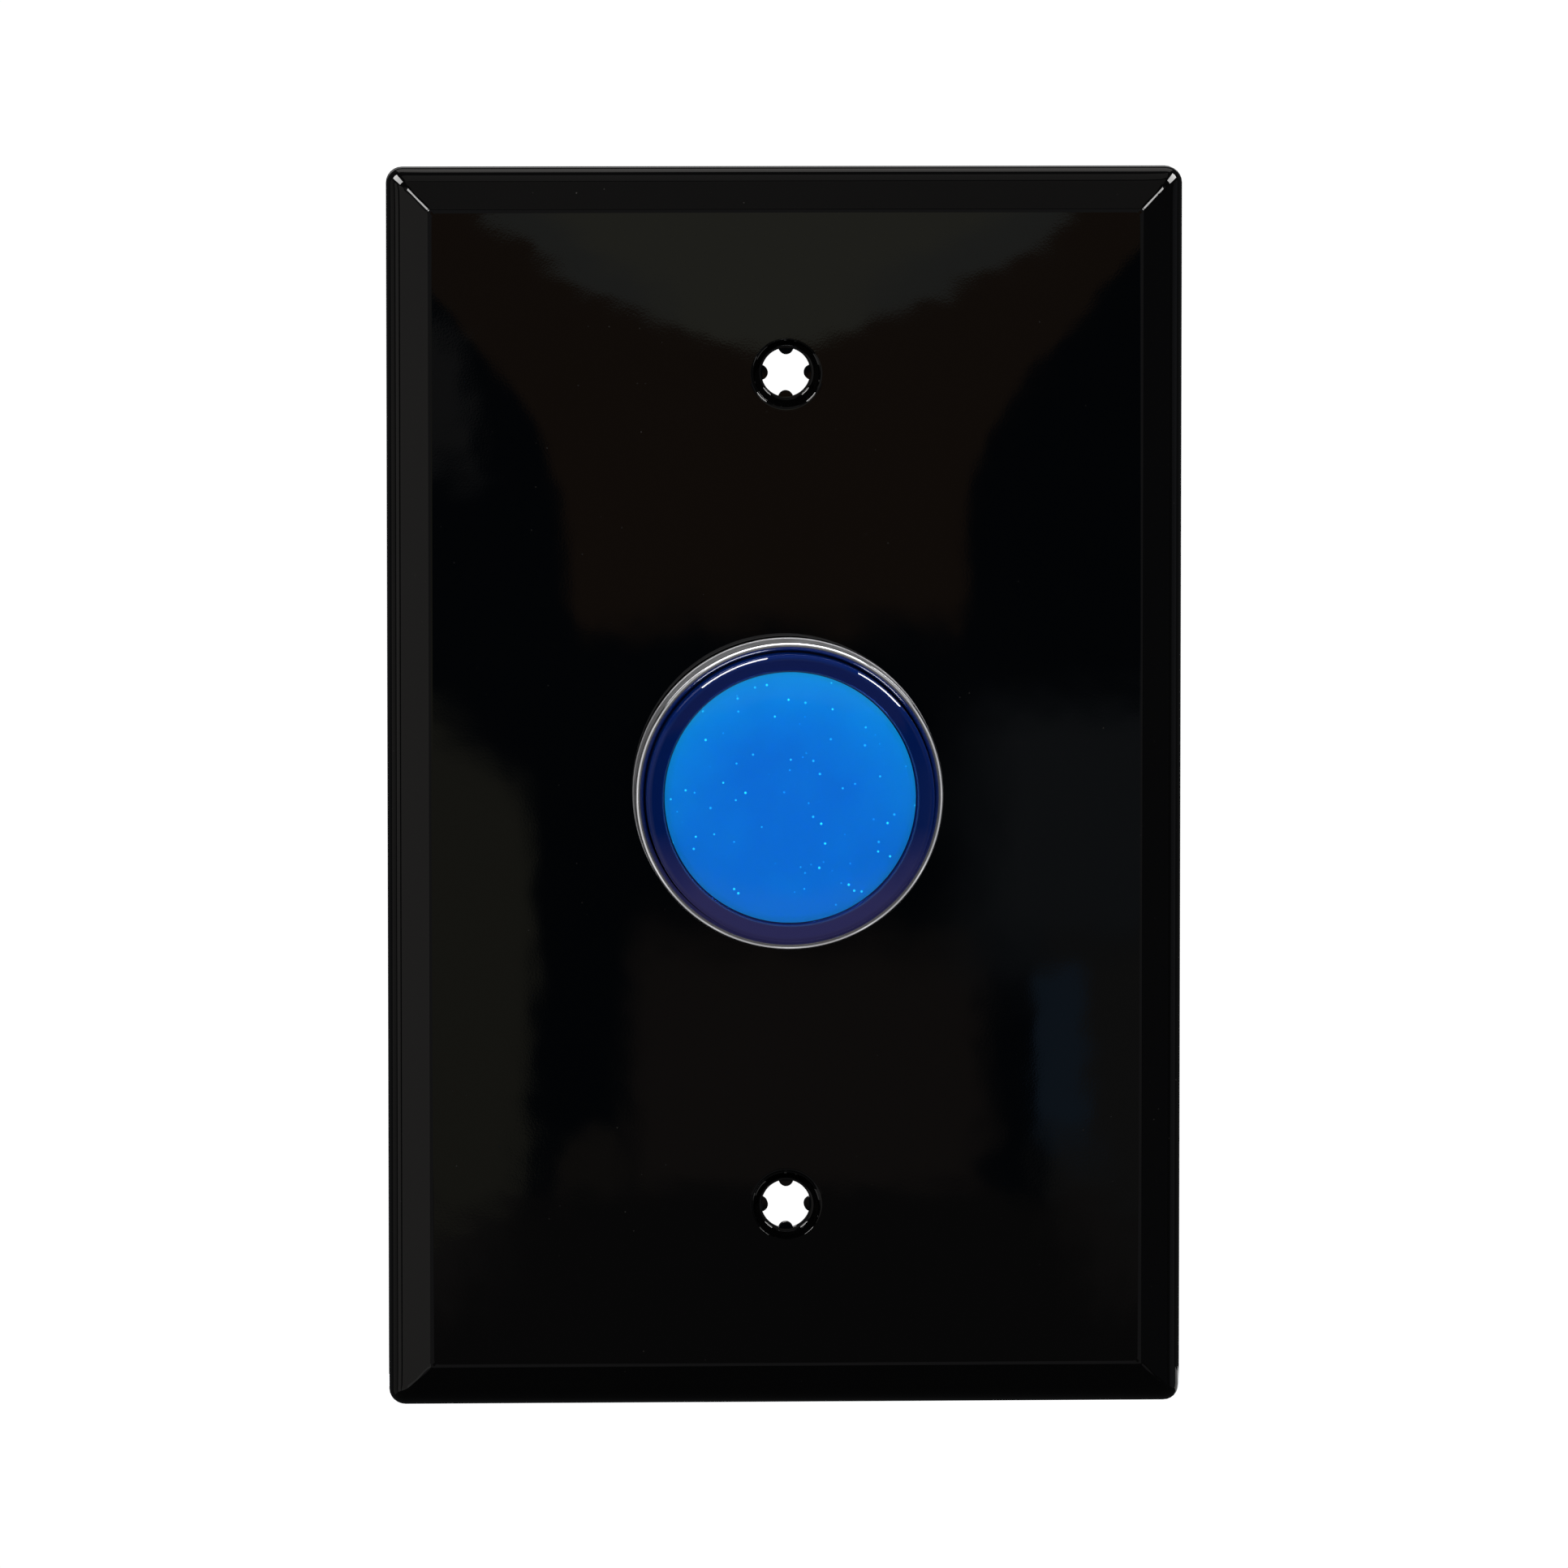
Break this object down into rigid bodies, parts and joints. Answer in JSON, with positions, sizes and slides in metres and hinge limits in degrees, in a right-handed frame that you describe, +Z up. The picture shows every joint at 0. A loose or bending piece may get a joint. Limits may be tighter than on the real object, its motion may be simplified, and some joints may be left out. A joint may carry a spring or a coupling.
{
  "type": "illuminated push button on a wall plate",
  "caption": "Illuminated momentary push button with a round blue cap and bright bezel, on a glossy black single-gang wall plate with a lever snap switch behind it.",
  "frame": {"origin": "on the button's axis, in the wall plane on which the plate's back rim rests", "axes": "+Z up the wall, +Y along the button's axis into the wall (the front faces -Y), +X to the right seen from the front"},
  "size_m": [0.0794, 0.0491, 0.124],
  "materials": {
    "plate_black": "polished black moulding with faint dust",
    "moulded_black": "satin black moulding",
    "bright_metal": "bright plated ring",
    "lens_blue": "clear tinted deep blue moulding",
    "diffuser_blue": "translucent blue disc",
    "moulded_white": "satin off-white moulding",
    "gasket_rubber": "soft black sheet",
    "zinc_steel": "zinc plated",
    "spring_steel": "bright drawn wire and strip",
    "lamp_clear": "clear moulding",
    "tinned_brass": "tinned strip",
    "copper_alloy": "bare springy strip",
    "switch_black": "satin black moulding",
    "switch_grey": "satin grey moulding",
    "switch_red": "smooth red moulding"
  },
  "bodies": {
    "housing": {"wall_plate": "plate_black", "panel_gasket": "gasket_rubber", "bezel_ring": "bright_metal", "barrel": "moulded_black", "lock_washer": "zinc_steel", "mounting_nut": "moulded_black", "return_spring": "spring_steel", "lamp_lens": "lamp_clear", "lamp_base": "moulded_white", "lamp_holder": "moulded_black", "lamp_terminal_left": "tinned_brass", "lamp_terminal_right": "tinned_brass", "switch_frame": "moulded_black", "switch_case": "switch_black", "switch_cover": "switch_grey", "switch_screw_upper": "zinc_steel", "switch_screw_lower": "zinc_steel", "common_terminal": "tinned_brass", "open_terminal": "tinned_brass", "closed_terminal": "tinned_brass", "lever_pivot_pin": "spring_steel"},
    "plunger": {"lens_cap": "lens_blue", "diffuser_disc": "diffuser_blue", "plunger_sleeve": "moulded_white"},
    "lever": {"switch_lever": "spring_steel"},
    "button": {"switch_button": "switch_red"},
    "blade": {"snap_blade": "copper_alloy"}
  },
  "joints": [
    {"name": "button_press", "type": "slide", "parent": "housing", "child": "plunger", "axis": [0, 1, 0], "range_m": [0, 0.0022], "stiffness_N_per_m": 450, "springref_m": -0.003, "deforming": ["return_spring"]},
    {"name": "lever_swing", "type": "hinge", "parent": "housing", "child": "lever", "pos_m": [0.00865, 0.01654, 0.00841], "axis": [1, 0, 0], "range_deg": [0, 9.31]},
    {"name": "switch_button_press", "type": "slide", "parent": "housing", "child": "button", "axis": [0, 1, 0], "range_m": [0, 0.0009195]},
    {"name": "blade_snap", "type": "hinge", "parent": "housing", "child": "blade", "pos_m": [0.00865, 0.02031, 0.00711], "axis": [1, 0, 0], "range_deg": [0, 2.47]}
  ],
  "couplings": [
    {"joint": "lever_swing", "follows": "button_press", "rad_per_m": 73.874},
    {"joint": "switch_button_press", "follows": "button_press", "ratio": 0.41791},
    {"joint": "blade_snap", "follows": "button_press", "rad_per_m": 19.607}
  ]
}
